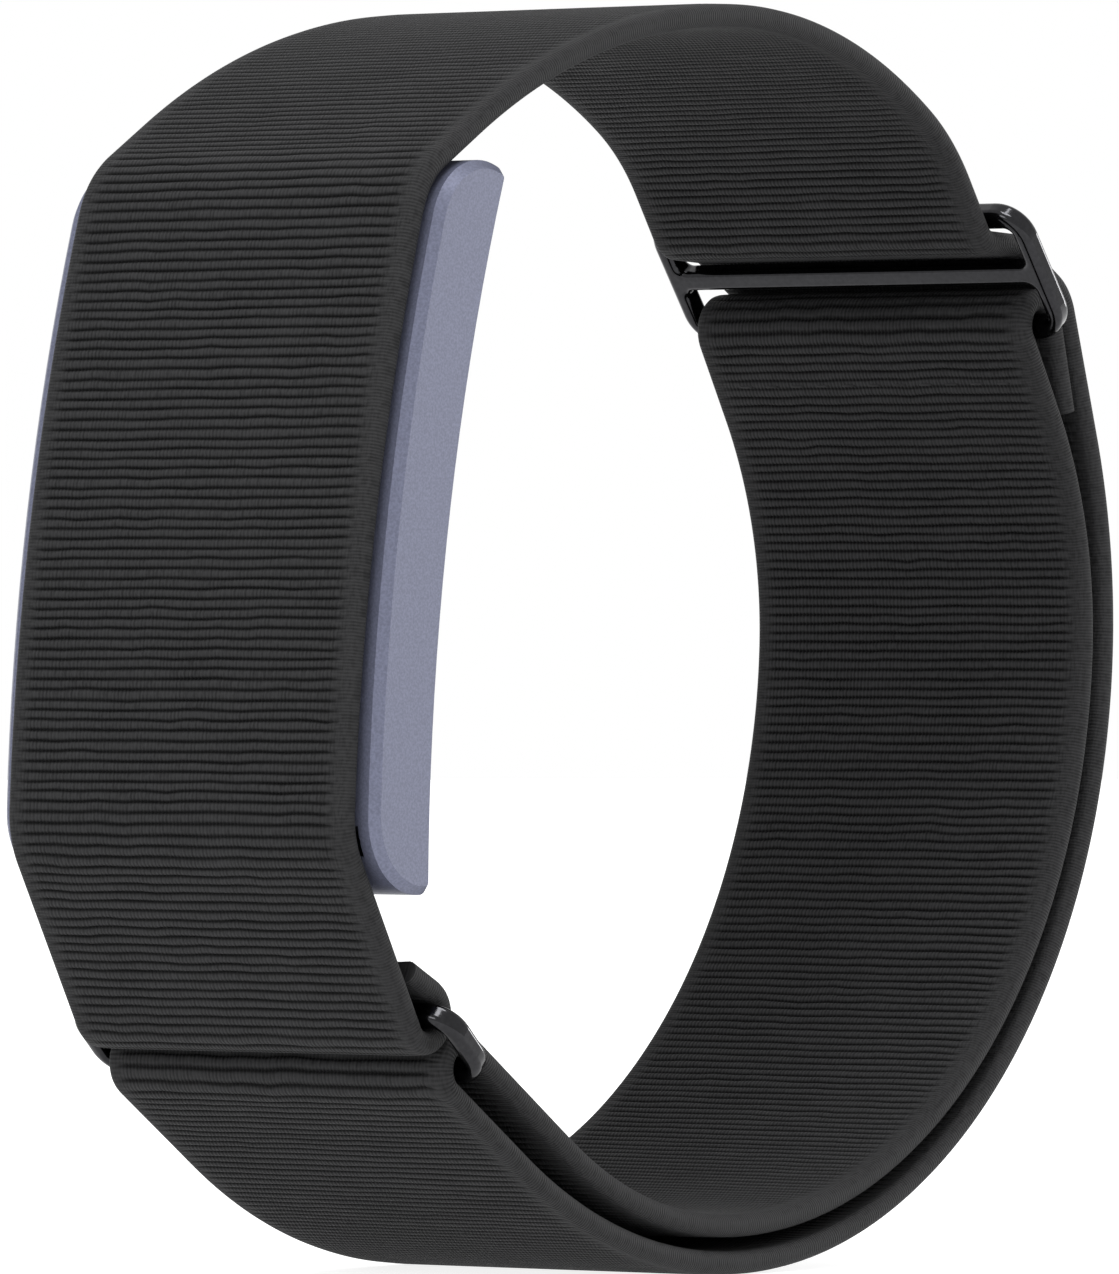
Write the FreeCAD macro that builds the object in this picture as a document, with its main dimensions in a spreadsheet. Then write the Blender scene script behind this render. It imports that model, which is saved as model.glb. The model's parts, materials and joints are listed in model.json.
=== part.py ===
"""A screenless fitness band: a curved sensor pod held under a ribbed webbing loop.

The pod is centred on the -X side.  Every sub-part is drawn in the pod's own frame, in
which the pod is upright, and its Placement then leans it by stand_tilt about Y, which is
how the band stands.  The origin is the centre of the loop, Y runs along the wrist.
"""
import FreeCAD, Part
import math
import os
import Sketcher

V = FreeCAD.Vector
ACROSS = V(0, 1, 0)
doc = FreeCAD.newDocument("FitnessBand")

# ---------------------------------------------------------------- driving dimensions, mm
DIMS = {
    "stand_tilt": 10.0,       # lean of the whole band about Y, degrees
    "loop_radius": 37.9,      # outer surface of the outer run
    "strap_width": 24.4, "strap_thick": 1.45, "layer_gap": 0.7, "strap_play": 0.06,
    "top_radius": 35.475,     # outer surface of the single layer over the top
    "pod_face": 34.95,        # loop centre to the middle of the pod's outer face
    "pod_curve": 127.0, "pod_depth": 5.4, "pod_half": 20.6, "pod_width": 26.9,
    "pod_corner": 4.4, "pod_lip": 0.7, "pod_edge": 0.5, "case_wall": 1.1,
    "cavity_half": 15.95, "cavity_width": 22.6, "mouth_depth": 4.35, "seal_thick": 0.15,
    "mouth_half": 17.0, "mouth_width": 24.0, "cover_gap": 0.06,
    "bump_rise": 2.3, "bump_half": 13.5, "bump_width": 20.0, "bump_edge": 1.6,
    "well_half": 8.0, "well_width": 15.4, "well_floor": 6.9,
    "window_long": 13.0, "window_wide": 8.4, "contact_radius": 0.9,
    "bar_depth": 2.7, "bar_inset": 2.5, "bar_radius": 0.6, "bar_room": 1.45,
    "tab_thick": 0.6, "tab_width": 18.6, "recess_width": 19.6, "bar_half": 12.1,
    "slot_half": 12.8, "side_bar": 1.05, "slot_corner": 0.5,
    "slider_angle": 46.4, "slider_reach": 34.8, "slider_pitch": 4.0,
    "slider_side": -0.1, "slider_bar": 1.3, "slider_thick": 1.4, "slider_corner": 2.2,
    "slider_edge": 0.45,
    "link_angle": -126.0, "link_reach": 36.5, "link_pitch": 4.52, "link_slope": 33.1,
    "link_bar": 1.2, "link_thick": 1.4, "link_corner": 2.0, "link_edge": 0.45,
    "battery_long": 15.0, "battery_wide": 20.0, "battery_thick": 2.7,
    "board_long": 13.6, "board_wide": 20.6, "board_thick": 0.6,
    "motor_radius": 3.4, "motor_tall": 1.6,
}
sheet = doc.addObject("Spreadsheet::Sheet", "Dims")
for row, (name, value) in enumerate(DIMS.items(), start=1):
    sheet.set(f"A{row}", name)
    sheet.set(f"B{row}", str(value))
    sheet.setAlias(f"B{row}", name)
doc.recompute()


def dim(name):
    """A driving dimension, read back from the sheet."""
    return float(sheet.get(name))


tilt = dim("stand_tilt")
strap_thick = dim("strap_thick")
half_thick = strap_thick / 2
nodes = []


# ------------------------------------------------------------------------- small helpers
def polar(radius, degrees, centre=V(0, 0, 0)):
    """The point at an angle from +X towards +Z about centre."""
    a = math.radians(degrees)
    return centre + V(radius * math.cos(a), 0, radius * math.sin(a))


def stand(obj, at=V(0, 0, 0), turn=0.0):
    """Put a sub-part at a point of the pod's frame, turned about Y, and lean it."""
    lean = FreeCAD.Rotation(ACROSS, tilt)
    obj.Placement = FreeCAD.Placement(lean.multVec(at), FreeCAD.Rotation(ACROSS, tilt + turn))
    nodes.append(obj)
    return obj


def new_body(label):
    body = doc.addObject("PartDesign::Body", label)
    body.Label = label
    return body


def sketch_on(body, role, curves, name="Profile", offset=0.0):
    """A sketch of the given curves on one of the body's own origin planes."""
    plane = [f for f in body.Origin.OriginFeatures if f.Role == role][0]
    sketch = body.newObject("Sketcher::SketchObject", f"{body.Label}_{name}")
    sketch.AttachmentSupport = (plane, "")
    sketch.MapMode = "FlatFace"
    sketch.AttachmentOffset = FreeCAD.Placement(V(0, 0, offset), FreeCAD.Rotation())
    first = len(sketch.Geometry)
    sketch.addGeometry(curves, False)
    for i in range(first, len(sketch.Geometry)):
        sketch.addConstraint(Sketcher.Constraint("Block", i))
    return sketch


def grow(body, kind, sketch, length, both=True, back=False):
    """A Pad or Pocket of the sketch; length is a sheet formula such as Dims.pod_width."""
    before = 0.0 if body.Tip is None or body.Shape.isNull() else body.Shape.Volume
    feature = body.newObject(f"PartDesign::{kind}", f"{sketch.Label}_{kind}")
    feature.Profile = sketch
    if both:
        feature.Midplane = True
    feature.Reversed = back
    feature.setExpression("Length", length)
    doc.recompute()
    change = body.Shape.Volume - before
    if (kind == "Pad") != (change > 0):
        raise RuntimeError(f"{feature.Label} changed the volume by {change:.3f}")
    return feature


def soften(body, keep, radius, kind="Fillet"):
    """Fillet the body's edges that keep() picks; radius is a sheet formula."""
    base = body.Tip
    names = [f"Edge{i}" for i, e in enumerate(base.Shape.Edges, start=1) if keep(e)]
    feature = body.newObject(f"PartDesign::{kind}", f"{body.Label}_{kind}")
    feature.Base = (base, names)
    feature.setExpression("Radius" if kind == "Fillet" else "Size", radius)
    doc.recompute()
    return feature


def flat(p):
    """A point of the XZ plane as a point of a sketch on that plane."""
    return V(p.x, p.z, 0)


def outline(points):
    """Straight sides through the points, closed."""
    return [Part.LineSegment(a, b) for a, b in zip(points, points[1:] + points[:1])]


def oblong(wide, tall, radius, at=(0.0, 0.0)):
    """A rectangle with round corners, centred on a sketch point."""
    x, y = wide / 2 - radius, tall / 2 - radius
    c = V(at[0], at[1], 0)
    curves = []
    quarter = math.pi / 2
    for k, (sx, sy) in enumerate([(1, 1), (-1, 1), (-1, -1), (1, -1)]):
        centre = c + V(sx * x, sy * y, 0)
        circle = Part.Circle(centre, V(0, 0, 1), radius)
        curves.append(Part.ArcOfCircle(circle, k * quarter, (k + 1) * quarter))
    ends = [(a.EndPoint, b.StartPoint) for a, b in zip(curves, curves[1:] + curves[:1])]
    return curves + [Part.LineSegment(a, b) for a, b in ends if (a - b).Length > 1e-6]


# ------------------------------------------------------- routes of webbing round the bars
def tangent(one, two):
    """The straight run between two rounds (centre, radius, turn); turn is +1 for
    anticlockwise, -1 for clockwise, and a round of radius 0 is a point."""
    (c1, r1, t1), (c2, r2, t2) = one, two
    link = c2 - c1
    reach = link.Length
    heading = math.atan2(link.z, link.x)
    ratio = (t1 * r1 - t2 * r2) / reach
    lean = math.asin(ratio) if abs(ratio) < 1 - 1e-9 else math.copysign(math.pi / 2, ratio)
    run = heading + lean
    side = V(math.sin(run), 0, -math.cos(run))
    return c1 + side * (t1 * r1), c2 + side * (t2 * r2)


def route(rounds):
    """The pieces of a centreline round the rounds: ('line', a, b) and
    ('arc', centre, radius, start angle, end angle, turn), in order."""
    runs = [tangent(a, b) for a, b in zip(rounds, rounds[1:])]
    pieces = []
    for k, (a, b) in enumerate(runs):
        if (b - a).Length > 0.02:
            pieces.append(("line", a, b))
        if k + 1 < len(runs):
            centre, radius, turn = rounds[k + 1]
            p, q = b - centre, runs[k + 1][0] - centre
            start, stop = math.atan2(p.z, p.x), math.atan2(q.z, q.x)
            sweep = (turn * (stop - start)) % (2 * math.pi)
            if sweep < 2 * math.pi - 0.02 and sweep * radius > 0.02:
                pieces.append(("arc", centre, radius, start, start + turn * sweep, turn))
    return pieces


def side_curve(piece, shift):
    """A centreline piece moved sideways by shift, to its left if positive."""
    if piece[0] == "line":
        a, b = piece[1:]
        run = (b - a).normalize()
        left = V(-run.z, 0, run.x) * shift
        return Part.LineSegment(flat(a + left), flat(b + left))
    _, centre, radius, start, stop, turn = piece
    circle = Part.Circle(flat(centre), V(0, 0, 1), radius - turn * shift)
    return Part.ArcOfCircle(circle, min(start, stop), max(start, stop))


def ends_of(curve, piece):
    """Start and end of a side curve in the direction of the route."""
    a, b = curve.StartPoint, curve.EndPoint
    return (b, a) if piece[0] == "arc" and piece[5] < 0 else (a, b)


def ribbon(label, pieces, thick, width):
    """Webbing of even thickness along a route, as one padded sketch."""
    left = [side_curve(p, thick / 2) for p in pieces]
    right = [side_curve(p, -thick / 2) for p in pieces]
    first = (ends_of(left[0], pieces[0])[0], ends_of(right[0], pieces[0])[0])
    last = (ends_of(left[-1], pieces[-1])[1], ends_of(right[-1], pieces[-1])[1])
    curves = left + right + [Part.LineSegment(*first), Part.LineSegment(*last)]
    body = new_body(label)
    grow(body, "Pad", sketch_on(body, "XZ_Plane", curves), width)
    return stand(body)


def run_length(pieces):
    """Length of a centreline."""
    total = 0.0
    for p in pieces:
        total += (p[2] - p[1]).Length if p[0] == "line" else p[2] * abs(p[4] - p[3])
    return total


# ------------------------------------------------------------------- places on the band
outer_run = dim("loop_radius") - half_thick
inner_run = outer_run - strap_thick - dim("layer_gap")
top_run = dim("top_radius") - half_thick
curve_centre = V(dim("pod_curve") - dim("pod_face"), 0, 0)
play = dim("strap_play")


def pod_point(depth, along):
    """A point of the pod: depth in from its outer face, arc length along it."""
    radius = dim("pod_curve") - depth
    a = along / dim("pod_curve")
    return curve_centre + V(-radius * math.cos(a), 0, radius * math.sin(a)), math.degrees(a)


end_angle = math.asin(dim("pod_half") / (dim("pod_curve") - dim("pod_depth")))


def from_end(depth, inset):
    """A point that far in from the pod's outer face and from its upper end face."""
    radius = dim("pod_curve") - depth
    a = end_angle - math.asin(inset / radius)
    return curve_centre + V(-radius * math.cos(a), 0, radius * math.sin(a))


def mirrored(p):
    return V(p.x, p.y, -p.z)


corner = dim("pod_corner")
corner_up = from_end(corner, corner)
corner_down = mirrored(corner_up)
bar_up = from_end(dim("bar_depth"), dim("bar_inset"))
bar_down = mirrored(bar_up)


def bar_wrap(bar, thick, edge):
    """Radius of the webbing's centreline round a bar with rounded edges."""
    a, b = bar / 2 - edge, thick / 2 - edge
    return math.hypot(a, b) + edge + play + half_thick


slider_mid = polar(dim("slider_reach"), dim("slider_angle"))
slider_up = V(-math.sin(math.radians(dim("slider_angle"))), 0,
              math.cos(math.radians(dim("slider_angle"))))
top_bar = slider_mid + slider_up * dim("slider_pitch")
low_bar = slider_mid - slider_up * dim("slider_pitch")
slider_wrap = bar_wrap(dim("slider_bar"), dim("slider_thick"), dim("slider_edge"))

run_bar = polar(dim("link_reach"), dim("link_angle"))
slope = math.radians(dim("link_slope"))
link_up = V(-math.cos(slope), 0, math.sin(slope))
cover_bar = run_bar + link_up * dim("link_pitch")
link_wrap = bar_wrap(dim("link_bar"), dim("link_thick"), dim("link_edge"))

# ------------------------------------------------------------------ the webbing's routes
origin = V(0, 0, 0)


def inside_of(centre, radius, degrees, small):
    """Centre of a smaller round that touches a larger one from inside."""
    return polar(radius - small, degrees, centre)


bulge, dip, flare, tuck = 50.0, 14.0, 28.0, 25.5
cover_radius = dim("pod_curve") + 0.1 + half_thick
wrap_corner = corner + 0.1 + half_thick
top_blend = (inside_of(origin, top_run, 100, bulge), bulge, -1)
top_dip = (inside_of(origin, top_run, 68, dip), dip, -1)
hem_over = slider_wrap + strap_thick + 0.05

# from the sewn end at the lower link, over the pod and the top, to the slider's slot
hem_run = tangent((corner_down, wrap_corner, 1), (cover_bar, link_wrap, 1))
hem_dir = (hem_run[1] - hem_run[0]).normalize()
hem_out = V(hem_dir.z, 0, -hem_dir.x)
cover_hem_end = cover_bar - hem_dir * 2.9 + hem_out * (link_wrap - strap_thick - 0.05)
cover_rounds = [
    (cover_hem_end, 0, 1), (cover_bar, link_wrap, -1), (corner_down, wrap_corner, -1),
    (curve_centre, cover_radius, -1), (corner_up, wrap_corner, -1), top_blend,
    (origin, top_run, -1), top_dip, (top_bar, slider_wrap, 1), (slider_mid, slider_wrap, -1),
    (low_bar, hem_over, -1)]
cover_route = route(cover_rounds)[:-1]
# from the slider's middle bar over the sewn loop, down the outside, to the lower link
outer_rounds = [
    (slider_mid, slider_wrap, -1), (low_bar, hem_over, -1), (origin, outer_run, -1),
    (run_bar, link_wrap, -1), (inside_of(origin, inner_run, -85, flare), flare, 1)]
outer_route = route(outer_rounds)[:-1]
# from the lower link up the inside, round the slider's lower bar, to the sewn end
loop_end = polar(35.6, 30.3)
inner_rounds = [
    (run_bar, link_wrap, -1), (inside_of(origin, inner_run, -85, flare), flare, 1),
    (origin, inner_run, 1), (inside_of(origin, inner_run, 7, tuck), tuck, 1),
    (low_bar, slider_wrap, -1), (loop_end, 0, 1)]
inner_route = route(inner_rounds)

cover = ribbon("cover_webbing", cover_route, strap_thick, "Dims.strap_width")
outer = ribbon("outer_run_webbing", outer_route, strap_thick, "Dims.strap_width")
inner = ribbon("inner_run_webbing", inner_route, strap_thick, "Dims.strap_width")
for label, pieces in (("cover", cover_route), ("outer", outer_route), ("inner", inner_route)):
    print(f"{label} webbing length {run_length(pieces):.1f} mm")

# ------------------------------------------------------------- sewn tabs that hold the pod
tab_gap = half_thick + 0.08 + dim("tab_thick")
up_root, up_stop = (polar(bulge - tab_gap, a, top_blend[0]) for a in (129.6, 124.2))
up_dir = (up_stop - up_root).normalize()
up_out = V(-up_dir.z, 0, up_dir.x)


def tab_outline(bar, root):
    """Two layers of thin webbing from a seam to a bar, closed round the bar."""
    run = (root - bar).normalize()
    side = V(-run.z, 0, run.x)
    ring = dim("bar_radius") + 0.05 + dim("tab_thick")
    lean = math.acos(dim("tab_thick") / ring)
    a = math.atan2(side.z, side.x)
    neck = bar + run * (ring * math.sin(lean) + 0.3)
    low, high = bar + (side * 0.9 - run * 0.436) * ring, bar - (side * 0.9 + run * 0.436) * ring
    back = Part.Arc(flat(low), flat(bar - run * ring), flat(high))
    left, right = side * dim("tab_thick"), side * -dim("tab_thick")
    pts = [high, bar + right * (ring / dim("tab_thick")) + run * 0.2, neck + right,
           root + right, root + left, neck + left,
           bar + left * (ring / dim("tab_thick")) + run * 0.2, low]
    sides = [Part.LineSegment(flat(p), flat(q)) for p, q in zip(pts, pts[1:])]
    hole = Part.Circle(flat(bar), V(0, 0, 1), dim("bar_radius") + 0.05)
    return [back] + sides + [hole]


def tab(label, bar, root):
    body = new_body(label)
    grow(body, "Pad", sketch_on(body, "XZ_Plane", tab_outline(bar, root)), "Dims.tab_width")
    return stand(body)


def tab_foot(label, start, run, length):
    """The flat end of a tab, two layers thick, sewn along the cover webbing."""
    side = V(-run.z, 0, run.x) * dim("tab_thick")
    stop = start + run * length
    body = new_body(label)
    corners = [flat(p) for p in (start + side, stop + side, stop - side, start - side)]
    grow(body, "Pad", sketch_on(body, "XZ_Plane", outline(corners)), "Dims.tab_width")
    return stand(body)


tab("upper_tab", bar_up, up_root)
tab_foot("upper_tab_foot", up_root + up_dir * 0.35, up_dir, 4.2)
down_lean = V(0.4, 0, -0.9165)
seam_line = hem_run[0] - hem_out * tab_gap
down_root = bar_down + down_lean * (
    (seam_line - bar_down).dot(hem_out) / down_lean.dot(hem_out))
tab("lower_tab", bar_down, down_root)
tab_foot("lower_tab_foot", down_root + hem_dir * 0.35, hem_dir, 1.9)


def stitches(label, rows, count=11):
    """Rows of short stitches lying on the webbing; each row is (point, outward)."""
    radius, reach, pitch = 0.13, 1.3, 1.9
    solids = []
    for at, away in rows:
        seat = at + away * (radius + 0.01)
        for k in range(count):
            y = (k - (count - 1) / 2) * pitch - reach / 2
            solids.append(Part.makeCylinder(radius, reach, seat + V(0, y, 0), ACROSS))
    made = doc.addObject("Part::Feature", label)
    made.Label = label
    made.Shape = Part.makeCompound(solids)
    return stand(made)


stitches("upper_tab_stitches", [
    (up_root + up_dir * d - up_out * dim("tab_thick"), up_out * -1) for d in (1.5, 3.8)], 9)
stitches("lower_tab_stitches", [
    (down_root + hem_dir * 1.3 - hem_out * dim("tab_thick"), hem_out * -1)], 9)
flap_line = tangent((cover_hem_end, 0, 1), (cover_bar, link_wrap, -1))
flap_dir = (flap_line[1] - flap_line[0]).normalize()
flap_in = V(flap_dir.z, 0, -flap_dir.x)
if flap_in.dot(hem_out) > 0:
    flap_in = flap_in * -1
stitches("cover_hem_stitches", [(flap_line[0] + flap_dir * 0.7 + flap_in * half_thick, flap_in)])
seam_angle = 39.5
seam_at = polar(tuck - half_thick, seam_angle, inner_rounds[3][0])
seam_in = (inner_rounds[3][0] - seam_at).normalize()
stitches("slider_hem_stitches", [(seam_at, seam_in)])

# ------------------------------------------------------------------- slider and lower link


def buckle(label, high, wide, corner_size, slots, thick, edge):
    """A flat metal frame with slots: body X is outward, Y across, Z along the strap."""
    curves = oblong(wide, high, corner_size)
    for middle, opening in slots:
        curves += oblong(2 * dim("slot_half"), opening, dim("slot_corner"), (0.0, middle))
    body = new_body(label)
    grow(body, "Pad", sketch_on(body, "YZ_Plane", curves), thick)
    half = body.Shape.BoundBox.XMax
    soften(body, lambda e: abs(abs(e.CenterOfMass.x) - half) < 1e-4
           and e.BoundBox.XLength < 1e-4, edge)
    return body


frame_width = 2 * (dim("slot_half") + dim("side_bar"))
slider_slot = dim("slider_pitch") - dim("slider_bar")
slider = buckle("tri_glide_slider", 2 * dim("slider_pitch") + dim("slider_bar"), frame_width,
                dim("slider_corner"),
                [(s * dim("slider_pitch") / 2, slider_slot) for s in (-1, 1)],
                "Dims.slider_thick", "Dims.slider_edge")
stand(slider, slider_mid + V(0, dim("slider_side"), 0), -dim("slider_angle"))
link = buckle("lower_link", dim("link_pitch") + dim("link_bar"), frame_width,
              dim("link_corner"), [(0.0, dim("link_pitch") - dim("link_bar"))],
              "Dims.link_thick", "Dims.link_edge")
stand(link, (run_bar + cover_bar) * 0.5, 180 - math.degrees(math.pi / 2 - slope))

# --------------------------------------------------------------------------- the pod's case


def sector(depth_out, depth_in, half_long):
    """Outline of a curved slab between two depths, cut square to the curve."""
    r_out, r_in = dim("pod_curve") - depth_out, dim("pod_curve") - depth_in
    a = math.asin(half_long / r_out)
    c = curve_centre

    def spot(radius, angle):
        return flat(c + V(-radius * math.cos(angle), 0, radius * math.sin(angle)))
    arcs = [Part.Arc(spot(r, -a), spot(r, 0), spot(r, a)) for r in (r_out, r_in)]
    ends = [Part.LineSegment(spot(r_out, s * a), spot(r_in, s * a)) for s in (-1, 1)]
    return arcs + ends


case = new_body("pod_case")
r_in = dim("pod_curve") - dim("pod_depth")
half_out = dim("pod_half") * dim("pod_curve") / r_in
grow(case, "Pad", sketch_on(case, "XZ_Plane", sector(0, dim("pod_depth"), half_out), "Bar"),
     "Dims.pod_width")


def runs_across(e):
    return e.BoundBox.YLength > dim("pod_width") - 0.01


soften(case, lambda e: runs_across(e) and e.CenterOfMass.x < -31.5, "Dims.pod_corner")
soften(case, lambda e: runs_across(e) and e.CenterOfMass.x > -29.5 and
       abs(e.CenterOfMass.z) > 20, "Dims.pod_lip")
side_y = dim("pod_width") / 2
soften(case, lambda e: abs(abs(e.CenterOfMass.y) - side_y) < 1e-3
       and e.BoundBox.YLength < 1e-3, "Dims.pod_edge", "Chamfer")
cut = [("Cavity", sector(dim("case_wall"), dim("pod_depth") + 1, dim("cavity_half")),
        "Dims.cavity_width"),
       ("Mouth", sector(dim("mouth_depth"), dim("pod_depth") + 1, dim("mouth_half")),
        "Dims.mouth_width")]
for name, curves, width in cut:
    grow(case, "Pocket", sketch_on(case, "XZ_Plane", curves, name), width)

tab_run = (up_root - bar_up).normalize()
tab_side = V(-tab_run.z, 0, tab_run.x)
room = dim("bar_room")
recess = [bar_up + tab_side * room, bar_up + tab_run * 2.2 + tab_side * 0.78,
          bar_up + tab_run * 6 + tab_side * 0.78, bar_up + tab_run * 6 - tab_side * 0.78,
          bar_up + tab_run * 2.2 - tab_side * 0.78, bar_up - tab_side * room]
recess_curves = [Part.LineSegment(flat(a), flat(b)) for a, b in zip(recess, recess[1:])]
recess_curves.append(Part.Arc(flat(recess[-1]), flat(bar_up - tab_run * room), flat(recess[0])))
grow(case, "Pocket", sketch_on(case, "XZ_Plane", recess_curves, "UpperRecess"),
     "Dims.recess_width")
hold = [flat(p) for p in (bar_down + V(1.75, 0, 1.5), bar_down + V(-6, 0, 1.5),
                          bar_down + V(-6, 0, -6), bar_down + V(1.95, 0, -6))]
grow(case, "Pocket", sketch_on(case, "XZ_Plane", outline(hold), "LowerRecess"),
     "Dims.recess_width")
notch = dim("bar_radius") + 0.06
mouth_curves = [flat(p) for p in (bar_down + V(0, 0, notch + 0.25), bar_down + V(-6, 0, 0.9),
                                  bar_down + V(-6, 0, -0.7), bar_down + V(0, 0, -notch))]
mouth_curves = [Part.LineSegment(a, b) for a, b in zip(mouth_curves, mouth_curves[1:])] + [
    Part.Arc(flat(bar_down + V(0, 0, -notch)), flat(bar_down + V(notch + 0.1, 0, 0.1)),
             flat(bar_down + V(0, 0, notch + 0.25)))]
grow(case, "Pocket", sketch_on(case, "XZ_Plane", mouth_curves, "BarNotch"),
     "2 * Dims.bar_half + 0.2")
tip_radius = 0.4
hole = [Part.Circle(flat(bar_up), V(0, 0, 1), tip_radius + 0.05)]
grow(case, "Pocket", sketch_on(case, "XZ_Plane", hole, "TipHoles"),
     "2 * Dims.bar_half + 0.2")
stand(case)

# ------------------------------------------------------------- back cover with sensor bump
cover_top = dim("mouth_depth") + dim("seal_thick")
back = new_body("back_cover")
slab = sector(cover_top, dim("pod_depth"), dim("mouth_half") - dim("cover_gap") * 2)
grow(back, "Pad", sketch_on(back, "XZ_Plane", slab, "Slab"),
     "Dims.mouth_width - 2 * Dims.cover_gap")
bump_depth = dim("pod_depth") + dim("bump_rise")
grow(back, "Pad", sketch_on(back, "XZ_Plane",
                            sector(cover_top, bump_depth, dim("bump_half")), "Bump"),
     "Dims.bump_width")
bump_radius = dim("pod_curve") - bump_depth


def on_bump(e):
    """Edges of the bump's face towards the wrist, and its upright corners."""
    reach = (e.CenterOfMass - V(curve_centre.x, e.CenterOfMass.y, 0)).Length
    rim = abs(e.CenterOfMass.y) > 9.9 or abs(e.CenterOfMass.z) > 12.5
    return rim and reach < bump_radius + 0.6 and abs(e.CenterOfMass.y) < 10.01


def upright(e):
    return (abs(abs(e.CenterOfMass.y) - dim("bump_width") / 2) < 1e-3
            and e.BoundBox.YLength < 1e-3 and e.BoundBox.ZLength < 1.0)


soften(back, upright, "Dims.bump_edge * 2")
soften(back, on_bump, "Dims.bump_edge")
well = sector(cover_top - 1, dim("well_floor"), dim("well_half"))
grow(back, "Pocket", sketch_on(back, "XZ_Plane", well, "Well"), "Dims.well_width")
window_hole = oblong(dim("window_wide"), dim("window_long"), dim("window_wide") / 2 - 0.01)
grow(back, "Pocket", sketch_on(back, "YZ_Plane", window_hole, "WindowHole", -40.0),
     "Dims.pod_face", both=False, back=True)
contact_at = [(y, 10.9) for y in (-2.6, 2.6)]
holes = [Part.Circle(V(y, z, 0), V(0, 0, 1), dim("contact_radius") + 0.03)
         for y, z in contact_at]
grow(back, "Pocket", sketch_on(back, "YZ_Plane", holes, "ContactHoles", -40.0),
     "Dims.pod_face", both=False, back=True)
stand(back)

seal = new_body("case_seal")
grow(seal, "Pad", sketch_on(seal, "XZ_Plane",
     sector(dim("mouth_depth"), cover_top, dim("mouth_half") - 0.1), "Slab"),
     "Dims.mouth_width - 0.2")
grow(seal, "Pocket", sketch_on(seal, "XZ_Plane",
     sector(dim("mouth_depth") - 1, cover_top + 1, dim("cavity_half")), "Middle"),
     "Dims.cavity_width")
stand(seal)


# ------------------------------------------------------------------- what the pod holds
def seat(obj, depth, along, across=0.0, corner_offset=(0.0, 0.0)):
    """Put a piece whose X is its depth at a depth, a length along and a place across."""
    base, lean = pod_point(depth, along)
    shift = FreeCAD.Rotation(ACROSS, lean).multVec(V(0, corner_offset[0], corner_offset[1]))
    return stand(obj, base + shift + V(0, across, 0), lean)


def block(label, sizes, depth, along, across=0.0):
    """A Part::Box of depth x width x length, each a sheet formula or a number."""
    box = doc.addObject("Part::Box", label)
    box.Label = label
    for side, value in zip(("Length", "Width", "Height"), sizes):
        if isinstance(value, str):
            box.setExpression(side, value)
        else:
            setattr(box, side, value)
    doc.recompute()
    w, h = box.Width.Value, box.Height.Value
    return seat(box, depth, along, across, (-w / 2, -h / 2))


def group(label, solids, depth, along, across=0.0):
    """Several equal small solids as one node, drawn with X inward from the seat."""
    made = doc.addObject("Part::Feature", label)
    made.Label = label
    made.Shape = solids[0] if len(solids) == 1 else Part.makeCompound(solids)
    return seat(made, depth, along, across)


def brick(dx, dy, dz, x, y, z):
    """A box centred on (y, z) that starts at depth x."""
    return Part.makeBox(dx, dy, dz, V(x, y - dy / 2, z - dz / 2))


def peg(radius, length, x, y, z):
    """A round peg that points inward from depth x."""
    return Part.makeCylinder(radius, length, V(x, y, z), V(1, 0, 0))


block("battery_cell", ("Dims.battery_thick", "Dims.battery_wide", "Dims.battery_long"),
      1.5, -8.2)
block("battery_pad", (0.14, 16.0, 11.0), 4.24, -8.2)
block("antenna_film", (0.12, 12.0, 8.0), 1.22, 9.5)
block("main_board", ("Dims.board_thick", "Dims.board_wide", "Dims.board_long"), 2.0, 8.2)
group("board_chips", [brick(0.9, 5.0, 5.0, 0, 5.4, -2.6), brick(0.7, 3.2, 2.4, 0, 0.2, -4.2),
                      brick(0.8, 4.0, 3.0, 0, 5.6, 3.0), brick(0.6, 2.0, 1.2, 0, 0.6, -1.2)],
      2.6, 8.2)
group("board_posts", [peg(0.8, 0.72, 0, y, z) for y in (-9.2, 9.2) for z in (-5.6, 5.6)],
      1.28, 8.2)
group("board_screws", [peg(0.85, 0.4, 0, y, z) for y in (-9.2, 9.2) for z in (-5.6, 5.6)],
      2.6, 8.2)
block("board_link_film", (2.2, 5.0, 0.12), 2.65, 0.6)
block("sensor_board", (0.5, 14.6, 15.0), 5.0, 0.0)
wells = [(2.3, 0.0, 4.0, 2.4), (2.3, 0.0, 0.0, 2.4), (2.3, 0.0, -4.0, 2.4)]
shade = brick(1.25, 7.6, 12.2, 0, 0, 0)
for wide, y, z, tall in wells:
    shade = shade.cut(brick(3, wide, tall, -1, y, z))
for y in (-2.8, 2.8):
    shade = shade.cut(brick(3, 1.5, 3.0, -1, y, 0))
group("light_shade", [shade], 5.54, 0.0)
group("green_leds", [brick(0.5, 1.4, 1.2, 0, 0, z) for z in (-4.0, 4.0)], 5.5, 0.0)
group("red_infrared_led", [brick(0.5, 1.4, 1.2, 0, 0, 0)], 5.5, 0.0)
group("photodiodes", [brick(0.45, 1.2, 2.4, 0, y, 0) for y in (-2.8, 2.8)], 5.5, 0.0)
window_lens = new_body("sensor_window")
lens = oblong(dim("window_wide") - 0.08, dim("window_long") - 0.08,
              dim("window_wide") / 2 - 0.05)
grow(window_lens, "Pad", sketch_on(window_lens, "YZ_Plane", lens), "0.75", both=False)
soften(window_lens, lambda e: e.CenterOfMass.x > 0.7 and e.BoundBox.XLength < 1e-4, "0.2")
seat(window_lens, 6.98, 0.0)
contacts = doc.addObject("Part::Feature", "charge_contacts")
contacts.Label = "charge_contacts"
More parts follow.
